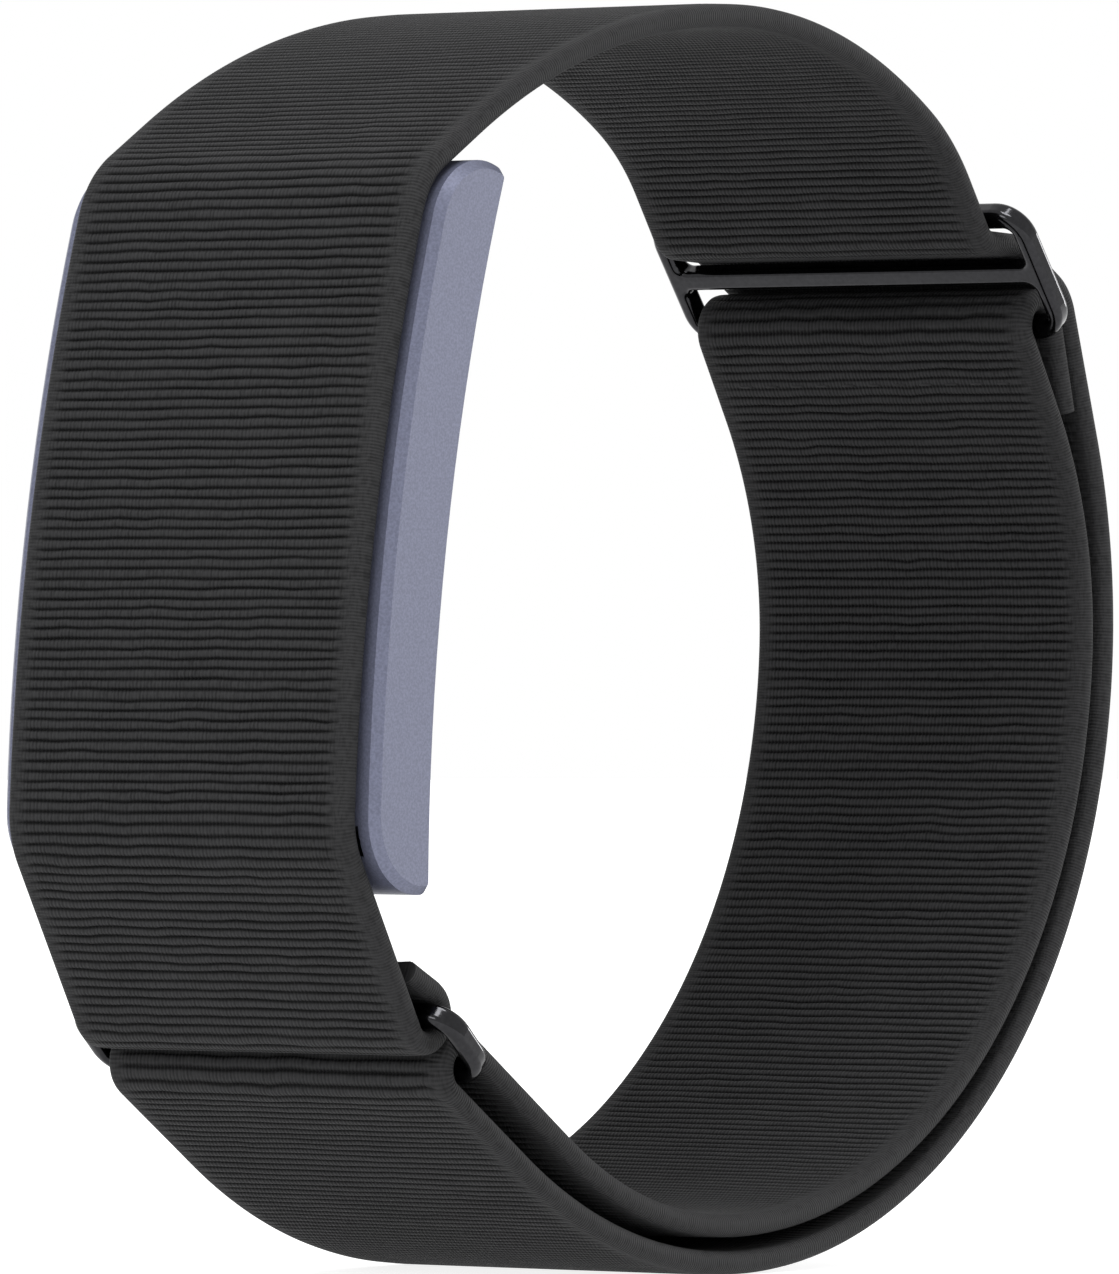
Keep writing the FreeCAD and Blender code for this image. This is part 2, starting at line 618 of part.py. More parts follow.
contacts.Shape = Part.makeCompound([peg(dim("contact_radius"), 3.0, 0, y, z)
                                    for y, z in contact_at])
stand(contacts, V(pod_point(4.75, contact_at[0][1])[0].x, 0, 0))

# coin motor: a cup with its lid, and the off-centre rotor on its shaft
motor_at = (2.78, 11.0, -5.6)
r_motor, tall = dim("motor_radius"), dim("motor_tall")
cup = peg(r_motor, tall, 0, 0, 0).cut(peg(r_motor - 0.25, tall - 0.5, 0.25, 0, 0))
group("motor_case", [cup], *motor_at)
shaft_radius = 0.3
group("motor_shaft", [peg(shaft_radius, tall - 0.5, 0.25, 0, 0)], *motor_at)
disc = peg(r_motor - 0.45, 0.7, 0.45, 0, 0).cut(peg(shaft_radius + 0.04, 2, 0, 0, 0))
half_disc = disc.common(Part.makeBox(3, 9, 5, V(-0.5, -4.5, -0.8)))
group("motor_rotor", [half_disc], *motor_at)


# spring bar in the upper tab, plain bar in the lower one
def lay_across(obj, at, start, hand=1):
    """Lay a piece drawn along Z across the band, from Y = start towards hand."""
    lean = FreeCAD.Rotation(ACROSS, tilt)
    turn = FreeCAD.Rotation(V(0, 0, 1), V(0, hand, 0))
    obj.Placement = FreeCAD.Placement(lean.multVec(at + V(0, start, 0)), lean.multiply(turn))
    nodes.append(obj)


tube = new_body("upper_bar_tube")
rings = [Part.Circle(flat(bar_up), V(0, 0, 1), r) for r in (dim("bar_radius"), 0.43)]
grow(tube, "Pad", sketch_on(tube, "XZ_Plane", rings), "Dims.tab_width")
stand(tube)
spring_turns, spring_pitch, wire = 7, 0.78, 0.09
coil = Part.makeHelix(spring_pitch, spring_turns * spring_pitch, 0.29)
corners = [V(0.29 + x, 0, z) for x, z in ((-wire, -wire), (wire, -wire), (wire, wire),
                                         (-wire, wire), (-wire, -wire))]
start = Part.makePolygon(corners)
coil_solid = Part.Wire(coil.Edges).makePipeShell([start], True, True)
spring = doc.addObject("Part::Feature", "bar_spring")
spring.Label = "bar_spring"
spring.Shape = coil_solid
lay_across(spring, bar_up, -spring_turns * spring_pitch / 2)
for label, hand in (("bar_tip_near", -1), ("bar_tip_far", 1)):
    tip = doc.addObject("Part::Cylinder", label)
    tip.Label = label
    tip.Radius = tip_radius
    tip.setExpression("Height", "Dims.bar_half - 4.3")
    lay_across(tip, bar_up, hand * 4.3, hand)
rod = doc.addObject("Part::Cylinder", "lower_bar")
rod.Label = "lower_bar"
rod.setExpression("Radius", "Dims.bar_radius")
rod.setExpression("Height", "2 * Dims.bar_half")
lay_across(rod, bar_down, -dim("bar_half"))

# ----------------------------------------------------------------------- check and write
doc.recompute()
for obj in doc.Objects:
    if "Invalid" in obj.State or "Error" in obj.State:
        raise RuntimeError(f"{obj.Label}: {obj.State}")
os.makedirs("parts", exist_ok=True)
for obj in nodes:
    shape = obj.Shape
    if shape.isNull() or not shape.isValid() or not shape.Solids:
        raise RuntimeError(f"{obj.Label} has no good solid")
    shape.exportStep(f"parts/{obj.Label}.step")
print(len(nodes), "nodes written")
for name, at in (("swing axis", up_root), ("upper bar", bar_up), ("slider", slider_mid),
                 ("link", (run_bar + cover_bar) * 0.5)):
    p = FreeCAD.Rotation(ACROSS, tilt).multVec(at)
    print(f"{name}: {p.x:.3f} {p.y:.3f} {p.z:.3f}")
motor_p, motor_lean = pod_point(motor_at[0], motor_at[1])
p = FreeCAD.Rotation(ACROSS, tilt).multVec(motor_p + V(0, motor_at[2], 0))
print(f"motor: {p.x:.3f} {p.y:.3f} {p.z:.3f}, axis leans {motor_lean + tilt:.3f} deg")
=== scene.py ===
"""The looks of a screenless fitness band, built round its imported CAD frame."""
import json
import math

import bmesh
import bpy
import numpy as np
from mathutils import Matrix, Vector


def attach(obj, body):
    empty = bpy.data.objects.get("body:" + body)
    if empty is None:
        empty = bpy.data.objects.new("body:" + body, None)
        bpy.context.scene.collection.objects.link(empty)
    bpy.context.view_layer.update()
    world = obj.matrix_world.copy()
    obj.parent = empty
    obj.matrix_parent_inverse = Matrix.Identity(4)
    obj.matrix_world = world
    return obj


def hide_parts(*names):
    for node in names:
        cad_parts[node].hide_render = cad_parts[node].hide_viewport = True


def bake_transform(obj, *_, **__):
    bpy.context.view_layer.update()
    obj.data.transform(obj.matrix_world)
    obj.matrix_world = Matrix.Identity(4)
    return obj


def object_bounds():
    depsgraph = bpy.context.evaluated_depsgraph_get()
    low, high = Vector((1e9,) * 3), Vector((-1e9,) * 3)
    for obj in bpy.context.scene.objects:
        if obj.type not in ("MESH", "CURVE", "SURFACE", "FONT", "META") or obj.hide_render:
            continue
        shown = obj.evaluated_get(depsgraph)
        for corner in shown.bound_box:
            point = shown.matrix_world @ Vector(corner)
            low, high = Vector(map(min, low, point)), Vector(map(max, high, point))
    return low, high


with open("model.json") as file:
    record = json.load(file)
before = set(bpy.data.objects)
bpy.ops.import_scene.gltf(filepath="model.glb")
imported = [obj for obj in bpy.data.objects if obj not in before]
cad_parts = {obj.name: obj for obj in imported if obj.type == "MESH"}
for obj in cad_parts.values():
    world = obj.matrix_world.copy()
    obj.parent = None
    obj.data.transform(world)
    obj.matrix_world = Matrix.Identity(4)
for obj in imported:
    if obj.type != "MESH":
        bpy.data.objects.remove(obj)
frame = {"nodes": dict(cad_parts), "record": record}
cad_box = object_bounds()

# ------------------------------------------------------------------ camera, floor, light
# The band stands on edge on a pale floor in a bright room with white walls.  The camera
# looks level along the wrist's axis from the pod's side, through a long lens.
VIEW_ANGLE = math.radians(52.93)
VIEW_REACH = 0.7685
VIEW_MIDDLE = Vector((-0.00016, 0.0, -0.00095))
looking = Vector((math.sin(VIEW_ANGLE), math.cos(VIEW_ANGLE), 0.0))
camera_data = bpy.data.cameras.new("camera")
camera_data.sensor_width = 36.0
camera_data.lens = 372.86
camera_data.shift_x = -0.0115
camera_data.shift_y = -0.0017
camera_data.clip_start = 0.05
camera_data.clip_end = 20.0
camera = bpy.data.objects.new("camera", camera_data)
camera.location = VIEW_MIDDLE - looking * VIEW_REACH
camera.rotation_euler = looking.to_track_quat("-Z", "Y").to_euler()
bpy.context.scene.collection.objects.link(camera)
bpy.context.scene.camera = camera
bpy.context.scene.view_settings.view_transform = "Standard"


def put_in_scene(name, vertices, faces, smooth=True, flat_faces=()):
    """A mesh object at the origin.  faces is a grid of corner numbers, one row a face, or a
    list of rows; flat_faces are faces with their own flat shading, such as the caps."""
    mesh = bpy.data.meshes.new(name)
    rows = [list(map(int, f)) for f in faces] + [list(map(int, f)) for f in flat_faces]
    mesh.from_pydata(np.asarray(vertices, float).tolist(), [], rows)
    shade = np.full(len(rows), smooth)
    shade[len(faces):] = False
    mesh.polygons.foreach_set("use_smooth", shade)
    work = bmesh.new()
    work.from_mesh(mesh)
    bmesh.ops.recalc_face_normals(work, faces=work.faces)
    work.to_mesh(mesh)
    work.free()
    mesh.update()
    piece = bpy.data.objects.new(name, mesh)
    bpy.context.scene.collection.objects.link(piece)
    return piece


def grid_faces(rows, columns, close_rows=False, close_columns=False):
    """Four corners for each cell of a grid of rows x columns points, wrapped if closed."""
    i = np.arange(rows if close_rows else rows - 1)[:, None]
    j = np.arange(columns if close_columns else columns - 1)[None, :]
    k, m = (i + 1) % rows, (j + 1) % columns
    corners = [i * columns + j, k * columns + j, k * columns + m, i * columns + m]
    return np.stack([np.broadcast_to(c, (i.size, j.size)) for c in corners], -1).reshape(-1, 4)


class Flow:
    """One output of a shader node: arithmetic on it adds Math nodes, and make adds any."""

    def __init__(self, tree, socket=None):
        self.tree, self.socket = tree, socket

    def make(self, kind, sockets=(), out=0, stops=None, **settings):
        """A node of that kind: settings first, then {socket: number, colour or Flow}."""
        node = self.tree.nodes.new("ShaderNode" + kind)
        for name, value in settings.items():
            setattr(node, name, value)
        if stops:
            ramp = node.color_ramp.elements
            for k, (place, shade) in enumerate(stops):
                stop = ramp[k] if k < 2 else ramp.new(place)
                stop.position, stop.color = place, (*shade, 1.0)
        for name, value in dict(sockets).items():
            if isinstance(value, Flow):
                self.tree.links.new(value.socket, node.inputs[name])
            else:
                node.inputs[name].default_value = value
        return Flow(self.tree, node.outputs[out])

    def maths(self, operation, *values):
        return self.make("Math", enumerate(values), operation=operation)

    def mixed(self, a, b):
        """Colour a where this is 0, colour b where it is 1."""
        return self.make("Mix", {0: self, 6: a, 7: b}, out=2, data_type="RGBA")

    def between(self, low, high, to_low=0.0, to_high=1.0):
        """This number's place from low to high, eased, as a number to_low to to_high."""
        return self.make("MapRange", {0: self, 1: low, 2: high, 3: to_low, 4: to_high},
                         interpolation_type="SMOOTHSTEP")

    def __add__(self, other):
        return self.maths("ADD", self, other)

    def __sub__(self, other):
        return self.maths("SUBTRACT", self, other)

    def __rsub__(self, other):
        return self.maths("SUBTRACT", other, self)

    def __mul__(self, other):
        return self.maths("MULTIPLY", self, other)

    __radd__, __rmul__ = __add__, __mul__


def finish_of(name, metallic=0.0, ior=1.5, coat=0.0, sheen=0.0, sheen_rough=0.5, specular=0.5):
    """A new material: its shader node with the constant settings, and a Flow to build on."""
    material = bpy.data.materials.new(name)
    material.use_nodes = True
    tree = material.node_tree
    shader = tree.nodes["Principled BSDF"]
    for socket, value in (("Metallic", metallic), ("IOR", ior), ("Coat Weight", coat),
                          ("Sheen Weight", sheen), ("Sheen Roughness", sheen_rough),
                          ("Specular IOR Level", specular), ("Coat Roughness", 0.15)):
        shader.inputs[socket].default_value = value
    return material, shader, Flow(tree)


def dress(shader, flow, colour=None, rough=None, height=None, depth=0.0):
    """Join colour, roughness and a bump height, in metres of depth, to the shader."""
    for name, value in (("Base Color", colour), ("Roughness", rough)):
        if isinstance(value, Flow):
            flow.tree.links.new(value.socket, shader.inputs[name])
        elif value is not None:
            shader.inputs[name].default_value = value
    if height is not None:
        bump = flow.make("Bump", {"Distance": depth, "Height": height})
        flow.tree.links.new(bump.socket, shader.inputs["Normal"])


def area_lamp(name, place, aim, size, power):
    """A soft square lamp at a place, turned towards its aim."""
    data = bpy.data.lights.new(name, "AREA")
    data.size, data.energy = size, power
    lamp = bpy.data.objects.new(name, data)
    lamp.location = place
    lamp.rotation_euler = (Vector(aim) - Vector(place)).to_track_quat("-Z", "Y").to_euler()
    bpy.context.scene.collection.objects.link(lamp)


world = bpy.data.worlds.new("white_room")
world.use_nodes = True
world.node_tree.nodes["Background"].inputs["Color"].default_value = (1, 1, 1, 1)
world.node_tree.nodes["Background"].inputs["Strength"].default_value = 1.0
bpy.context.scene.world = world
side_view = Vector((looking.y, -looking.x, 0.0))
area_lamp("top_lamp", Vector((-0.1, -0.2, 1.0)), (0, 0, 0), 0.42, 7.0)
area_lamp("front_lamp", -looking * 0.9 - side_view * 0.5 + Vector((0, 0, 0.5)), (0, 0, 0),
          0.36, 2.6)

area_lamp("side_lamp", Vector((0.93, -0.3, 0.1)), (0.02, 0, 0.01), 0.2, 1.7)

floor_turn = np.linspace(0, 2 * np.pi, 96, endpoint=False)
floor_rings = np.array([0.0005, 0.05, 0.2, 0.6, 1.5, 2.6])[:, None]
floor_grid = np.stack([floor_rings * np.cos(floor_turn), floor_rings * np.sin(floor_turn),
                       np.full((6, 96), cad_box[0].z)], -1).reshape(-1, 3)
floor = put_in_scene("floor", floor_grid, grid_faces(6, 96, close_columns=True),
                     flat_faces=[range(96)])
floor_paint, floor_shader, flow = finish_of("floor_paint")
position = flow.make("TexCoord", out="Object")
grain = flow.make("TexNoise", {"Vector": position, "Scale": 900.0, "Detail": 2.0})
dress(floor_shader, flow, grain.mixed((0.38, 0.38, 0.38, 1), (0.42, 0.42, 0.42, 1)), 0.8)
floor_shader.inputs["Emission Color"].default_value = (1, 1, 1, 1)
floor_shader.inputs["Emission Strength"].default_value = 0.85
floor.data.materials.append(floor_paint)

# ------------------------------------------------------------------- the ribbed webbing
# One long elastic strap, 24.4 mm wide and 1.45 mm thick.  Thick weft cords cross it as
# ribs, the warp shows as fine lines over each rib, and both edges are plain selvedges.
# It starts sewn round the lower link, goes over the pod and the top, through the slider,
# down the outside, round the link, up the inside, and ends sewn round the slider's bar.
MM = 0.001
LEAN = np.exp(-1j * math.radians(10.0))
STRAP_WIDTH, STRAP_THICK = 24.4, 1.45
HALF_THICK = STRAP_THICK / 2
PLAY = 0.06
POD_CURVE, POD_FACE, POD_DEPTH, POD_HALF, POD_CORNER = 127.0, 34.95, 5.4, 20.6, 4.4
OUTER_RUN = 37.9 - HALF_THICK
INNER_RUN = OUTER_RUN - STRAP_THICK - 0.7
TOP_RUN = 35.475 - HALF_THICK
CURVE_CENTRE = complex(POD_CURVE - POD_FACE, 0)


def ray(radius, degrees, centre=0j):
    """The point of the side view, x + iz in mm, at an angle and a distance from centre."""
    return centre + radius * np.exp(1j * math.radians(degrees))


def wrap_radius(bar, thick, edge):
    """How far from a bar's middle the strap's own middle runs round its rounded edges."""
    return math.hypot(bar / 2 - edge, thick / 2 - edge) + edge + PLAY + HALF_THICK


def from_end(depth, inset):
    """A point that deep in the pod from its outer face, and that far from its upper end."""
    radius = POD_CURVE - depth
    end = math.asin(POD_HALF / (POD_CURVE - POD_DEPTH))
    return CURVE_CENTRE - radius * np.exp(-1j * (end - math.asin(inset / radius)))


corner_up = from_end(POD_CORNER, POD_CORNER)
corner_down = corner_up.conjugate()
corner_wrap = POD_CORNER + 0.1 + HALF_THICK
slider_up = 1j * np.exp(1j * math.radians(46.4))
slider_mid = ray(34.8, 46.4)
slider_top, slider_low = slider_mid + 4.0 * slider_up, slider_mid - 4.0 * slider_up
slider_wrap = wrap_radius(1.3, 1.4, 0.45)
hem_over = slider_wrap + STRAP_THICK + 0.05
link_up = -np.exp(-1j * math.radians(33.1))
link_run = ray(36.5, -126.0)
link_cover = link_run + 4.52 * link_up
link_wrap = wrap_radius(1.2, 1.4, 0.45)


def tangent(one, two):
    """The straight run from one round to the next.  A round is (middle, radius, turn), with
    turn +1 anticlockwise: the run leans from the line between the middles by the arcsine
    of (turn radius - turn radius) / distance, and touches each round square to itself."""
    (c1, r1, t1), (c2, r2, t2) = one, two
    ratio = (t1 * r1 - t2 * r2) / abs(c2 - c1)
    lean = math.asin(ratio) if abs(ratio) < 1 - 1e-9 else math.copysign(math.pi / 2, ratio)
    side = np.exp(1j * (np.angle(c2 - c1) + lean - math.pi / 2))
    return c1 + side * t1 * r1, c2 + side * t2 * r2


def course(rounds):
    """The legs of a strap's middle line round the rounds, each a row of start, heading,
    curvature and length: straight runs, and arcs whose curvature is turn / radius."""
    runs = [tangent(a, b) for a, b in zip(rounds, rounds[1:])]
    legs = []
    for k, (a, b) in enumerate(runs):
        if abs(b - a) > 0.02:
            legs.append((a, np.angle(b - a), 0.0, abs(b - a)))
        if k + 1 < len(runs):
            centre, radius, turn = rounds[k + 1]
            sweep = turn * (np.angle(runs[k + 1][0] - centre) - np.angle(b - centre))
            sweep %= 2 * math.pi
            if sweep < 2 * math.pi - 0.02 and sweep * radius > 0.02:
                heading = np.angle((b - centre) * 1j * turn)
                legs.append((b, heading, turn / radius, sweep * radius))
    return legs


def along(legs, s):
    """Place and heading at arc length s: on a leg of curvature c it is the start plus
    (exp(i(h + cs)) - exp(ih)) / ic, or s exp(ih) where the leg is straight."""
    start, heading, curve, length = (np.array(column) for column in zip(*legs))
    ends = np.cumsum(length)
    leg = np.clip(np.searchsorted(ends, s), 0, len(ends) - 1)
    s = s - (ends - length)[leg]
    h, c = heading[leg], curve[leg]
    bend = np.where(c == 0, 1.0, c)
    arc = (np.exp(1j * (h + bend * s)) - np.exp(1j * h)) / (1j * bend)
    return start[leg] + np.where(c == 0, s * np.exp(1j * h), arc), h + c * s


def inside_of(centre, radius, degrees, small, turn):
    """A smaller round that touches a larger one from inside, at an angle."""
    return ray(radius - small, degrees, centre), small, turn


BULGE = 50.0
top_blend = inside_of(0j, TOP_RUN, 100, BULGE, -1)
top_dip = inside_of(0j, TOP_RUN, 68, 14.0, -1)
flare = inside_of(0j, INNER_RUN, -85, 28.0, 1)
tuck = inside_of(0j, INNER_RUN, 7, 25.5, 1)
hem_a, hem_b = tangent((corner_down, corner_wrap, 1), (link_cover, link_wrap, 1))
hem_dir = (hem_b - hem_a) / abs(hem_b - hem_a)
hem_out = -1j * hem_dir
cover_hem_end = link_cover - 2.9 * hem_dir + hem_out * (link_wrap - STRAP_THICK - 0.05)
loop_end = ray(35.6, 30.3)
cover_course = course([
    (cover_hem_end, 0, 1), (link_cover, link_wrap, -1), (corner_down, corner_wrap, -1),
    (CURVE_CENTRE, POD_CURVE + 0.1 + HALF_THICK, -1), (corner_up, corner_wrap, -1), top_blend,
    (0j, TOP_RUN, -1), top_dip, (slider_top, slider_wrap, 1), (slider_mid, slider_wrap, -1),
    (slider_low, hem_over, -1)])[:-1]
outer_course = course([
    (slider_mid, slider_wrap, -1), (slider_low, hem_over, -1), (0j, OUTER_RUN, -1),
    (link_run, link_wrap, -1), flare])[:-1]
inner_course = course([
    (link_run, link_wrap, -1), flare, (0j, INNER_RUN, 1), tuck, (slider_low, slider_wrap, -1),
    (loop_end, 0, 1)])

RIB_PITCH, RIB_DEPTH, RIB_WAVE, SELVEDGE = 0.575, 0.15, 0.032, 1.3
RIB_STEPS = np.array([0.0, 0.07, 0.2, 0.38, 0.6, 0.8, 0.93])


def strap_section(width, left_points, right_points, edge=0.6):
    """Round the strap's section once: across it (mm), the side it is on (1 is the left face,
    -1 the right) and how deep ribs cut.  The edges are half ellipses of 7 points."""
    reach = width / 2 - edge
    turn = np.linspace(math.pi / 2, -math.pi / 2, 9)[1:-1]
    left, right = (np.linspace(-reach, reach, n) for n in (left_points, right_points))
    across = np.concatenate([left, reach + edge * np.cos(turn), right[::-1],
                             -reach - edge * np.cos(turn)])
    side = np.concatenate([np.ones(left_points), np.sin(turn), -np.ones(right_points),
                           -np.sin(turn)])
    rib = np.clip((width / 2 - SELVEDGE - np.abs(across)) / 0.35, 0, 1)
    return across, side, rib * rib * (3 - 2 * rib)


def value_noise(rng, rows, across, spacing, keep=0.5):
    """Random heights of one rib, eased across it between points a spacing apart, with a
    share kept from rib to rib so that neighbours wave alike."""
    place = (across - across.min()) / spacing
    low = np.floor(place).astype(int)
    ease = place - low
    ease = ease * ease * (3 - 2 * ease)
    knots = rng.normal(size=(rows, low.max() + 2))
    for k in range(1, rows):
        knots[k] = keep * knots[k - 1] + math.sqrt(1 - keep * keep) * knots[k]
    return knots[:, low] * (1 - ease) + knots[:, low + 1] * ease


def webbing(name, legs, first_rib, seed, width=STRAP_WIDTH, thick=STRAP_THICK, pitch=RIB_PITCH,
            depth=RIB_DEPTH, points=(24, 24), pressed=(),
            drift=(0, 0, 0), edge=0.6):
    """A ribbed strap along its legs.  Rows are seven lines to a rib, columns go round the
    section.  Place = middle line at s + (half thickness - groove) along its normal, where
    s waves from rib to rib and groove = depth (1 - sin(pi phase) ^ 0.6).  pressed is a list
    of (arc length, spread) where sewing or a fold flattens the ribs.  The strap strays
    sideways by drift[0] (1 - u)^6 + drift[1] sin(pi u) + drift[2] u^6, with u = s / length."""
    rng = np.random.default_rng(seed)
    length = sum(leg[3] for leg in legs)
    ribs = round(length / pitch)
    across, side, rib_share = strap_section(width, *points, edge)
    pace = rng.uniform(0.93, 1.07, ribs)
    line = np.concatenate([[0], np.cumsum(pace) * length / pace.sum()])
    wave = RIB_WAVE * value_noise(rng, ribs + 1, across, 1.6) * rib_share
    wave[[0, -1]] = 0
    swell = 1 + 0.22 * value_noise(rng, ribs + 1, across, 2.3, 0.2)
    phase = np.tile(RIB_STEPS, ribs)[:, None]
    rib = np.repeat(np.arange(ribs), len(RIB_STEPS))
    phase = np.concatenate([phase, [[1.0]]])
    rib = np.concatenate([rib, [ribs - 1]])
    s = (line[rib][:, None] + phase * (line[rib + 1] - line[rib])[:, None]
         + (1 - phase) * wave[rib] + phase * wave[rib + 1])
    s = np.clip(s, 0, length)
    groove = depth * (1 - np.sin(math.pi * np.clip(phase, 0, 1)) ** 0.6) * rib_share
    groove = groove * ((1 - phase) * swell[rib] + phase * swell[rib + 1])
    for place, spread in pressed:
        groove = groove * (1 - 0.8 * np.exp(-((s - place) / spread) ** 2))
    middle, heading = along(legs, s)
    rise = (thick / 2 - 0.05 * (1 - rib_share)) * side - groove * np.sign(side)
    spot = (middle + 1j * np.exp(1j * heading) * rise) * LEAN * MM
    rows, columns = spot.shape
    u = s / length
    stray = drift[0] * (1 - u) ** 6 + drift[1] * np.sin(math.pi * u) + drift[2] * u ** 6
    vertices = np.stack([spot.real, (across + stray) * MM, spot.imag], -1)
    caps = [np.arange(columns), (rows - 1) * columns + np.arange(columns)]
    piece = put_in_scene(name, vertices.reshape(-1, 3), grid_faces(rows, columns,
                         close_columns=True), flat_faces=caps)
    weave = np.stack([np.broadcast_to(across, spot.shape), first_rib + rib[:, None] + phase
                      + 0 * across, rib_share + 0 * spot.real], -1)
    layer = piece.data.attributes.new("weave", "FLOAT_VECTOR", "POINT")
    layer.data.foreach_set("vector", weave.astype(np.float32).ravel())
    return piece, first_rib + ribs


def webbing_finish(name, dark, light, sheen=0.02, stripe=0.26):
    """Black elastic webbing.  Warp yarns are fine lines along the strap, broken at every rib;
    grooves are painted darker as painted shade; the selvedges have three fine picks to a rib."""
    material, shader, flow = finish_of(name, sheen=sheen, sheen_rough=0.4, specular=0.12)
    weave = flow.make("Attribute", out="Vector", attribute_name="weave")
    across, rib, body = (weave.make("SeparateXYZ", {0: weave}, out=k) for k in range(3))
    yarn_place = flow.make("CombineXYZ", {0: across * 7.5, 1: rib * 0.9})
    yarn = flow.make("TexNoise", {"Vector": yarn_place, "Scale": 1.0, "Detail": 2.0,
                                  "Roughness": 0.6})
    turn = across * (2 * math.pi / stripe) + yarn * 2.5
    bead = turn.maths("SINE", turn)
    patch_place = flow.make("CombineXYZ", {0: across * 0.35, 1: rib * 0.16})
    patch = flow.make("TexNoise", {"Vector": patch_place, "Scale": 1.0, "Detail": 3.0})
    phase = rib.maths("FRACT", rib)
    # painted shade: the colour darkens from each rib's crest down into its grooves, on the
    # ribbed body only
    painted_groove_shade = (phase * math.pi).maths("SINE", phase * math.pi).between(0.1, 0.95, 0.1, 1.0)
    painted_groove_shade = 1 - body * (1 - painted_groove_shade)
    pick = (rib * (6 * math.pi)).maths("SINE", rib * (6 * math.pi))
    tone = painted_groove_shade * (yarn.between(0.25, 0.75, 0.45, 1.1) + patch * 0.3 + bead * 0.16 * body)
    tone = tone * (1 + (1 - body) * pick * 0.2)
    colour = tone.between(0.0, 1.3).mixed((*dark, 1), (*light, 1))
    height = yarn * 0.6 + bead * 0.3 * body + pick * 0.3 * (1 - body)
    dress(shader, flow, colour, yarn.between(0.2, 0.8, 0.6, 0.85), height, 0.00007)
    return material


strap_cloth = webbing_finish("black_webbing", (0.0008, 0.0008, 0.001), (0.026, 0.026, 0.027))
# the loop's seam is past the last round, and the strap strays to one side at the slider
SEAM_PAST, AT_SLIDER = 2.4, 0.25
SEAM_PLACE = sum(leg[3] for leg in inner_course[:4]) + SEAM_PAST
inner_length = sum(leg[3] for leg in inner_course)
cover, next_rib = webbing("cover_strap", cover_course, 0, 11, pressed=[(0.7, 0.5)],
                          drift=(0, -0.5, AT_SLIDER))
outer, next_rib = webbing("outer_strap", outer_course, next_rib, 12, points=(24, 14),
                          drift=(AT_SLIDER, 0, 0))
inner, _ = webbing("inner_strap", inner_course, next_rib, 13, points=(24, 14),
                          pressed=[(SEAM_PLACE, 0.45), (inner_length - 0.6, 0.4)],
                          drift=(0, 0, AT_SLIDER))
for strap, node in ((cover, "cover_webbing"), (outer, "outer_run_webbing"),
                    (inner, "inner_run_webbing")):
    strap.data.materials.append(strap_cloth)
    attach(strap, "band")
    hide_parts(node)


# ------------------------------------------------------------------------- the sewn tabs
# Thin woven tape, 18.6 mm wide and 0.6 mm a layer.  Each tape goes round a bar in the pod
# and both its layers are sewn flat under the cover strap.  The upper one is a fixed mesh
# here, though on the real band it bends when the pod swings.
TAB_WIDTH, TAB_THICK, TAB_PITCH = 18.6, 0.6, 0.42
BAR_RADIUS, BAR_DEPTH, BAR_INSET = 0.6, 2.7, 2.5
ROOT_ANGLE, STOP_ANGLE, LOWER_FOOT = 129.6, 124.2, 2.25
tab_gap = HALF_THICK + 0.08 + TAB_THICK
ring = BAR_RADIUS + 0.05 + TAB_THICK / 2
bar_up = from_end(BAR_DEPTH, BAR_INSET)
bar_down = bar_up.conjugate()
up_root, up_stop = (ray(BULGE - tab_gap, a, top_blend[0]) for a in (ROOT_ANGLE, STOP_ANGLE))
down_lean = complex(0.4, -0.9165)
seam_line = hem_a - hem_out * tab_gap
reach_down = ((seam_line - bar_down) * hem_out.conjugate()).real
down_root = bar_down + down_lean * reach_down / (down_lean * hem_out.conjugate()).real
down_stop = down_root + hem_dir * LOWER_FOOT


def tab_course(bar, root, stop):
    """From the sewn end to the root, to the bar, round it, and back beside itself."""
    run, foot = (root - bar) / abs(root - bar), (stop - root) / abs(stop - root)
    layer = 1j * TAB_THICK / 2
    bend = (run + foot) / abs(run + foot)
    return course([(stop + foot * layer, 0, 1), (root + bend * layer, 0.01, 1),
                   (bar, ring, 1), (root - bend * layer, 0.01, 1), (stop - foot * layer, 0, 1)])


tab_cloth = webbing_finish("tab_tape", (0.0012, 0.0012, 0.0014), (0.016, 0.016, 0.017),
                           stripe=0.4)
tabs = []
for k, (name, bar, root, stop) in enumerate((("upper_tape", bar_up, up_root, up_stop),
                                             ("lower_tape", bar_down, down_root, down_stop))):
    tape, _ = webbing(name, tab_course(bar, root, stop), 0, 21 + k, TAB_WIDTH, TAB_THICK,
                      TAB_PITCH, 0.05, (20, 20), edge=0.2)
    tape.data.materials.append(tab_cloth)
    tabs.append(tape)


def in_space(spot):
    """The point of the middle plane at a spot of the side view, in metres."""
    spot = spot * LEAN * MM
    return Vector((spot.real, 0.0, spot.imag))


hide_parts("upper_tab", "upper_tab_foot")
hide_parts("lower_tab", "lower_tab_foot")
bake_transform(tabs[0], "band", "pod", in_space(up_root + (up_root - bar_up) * 0.12),
         in_space(up_root - (up_root - bar_up) * 0.5))
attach(tabs[1], "band")

# ------------------------------------------------------------------------ the sewing
# Black thread.  Two rows hold the upper tape, one the lower tape, one the hem at the link
# and one the loop at the slider.  Each stitch is a short arch that dives into the webbing.
# The row at the slider lies a little nearer the bar than the CAD row it stands for.
STITCH_REACH, STITCH_PITCH, THREAD = 1.3, 1.9, 0.12
ARCH_RISE, ARCH_SINK, TUBE_LINES, TUBE_SIDES = 0.16, 0.12, 9, 6


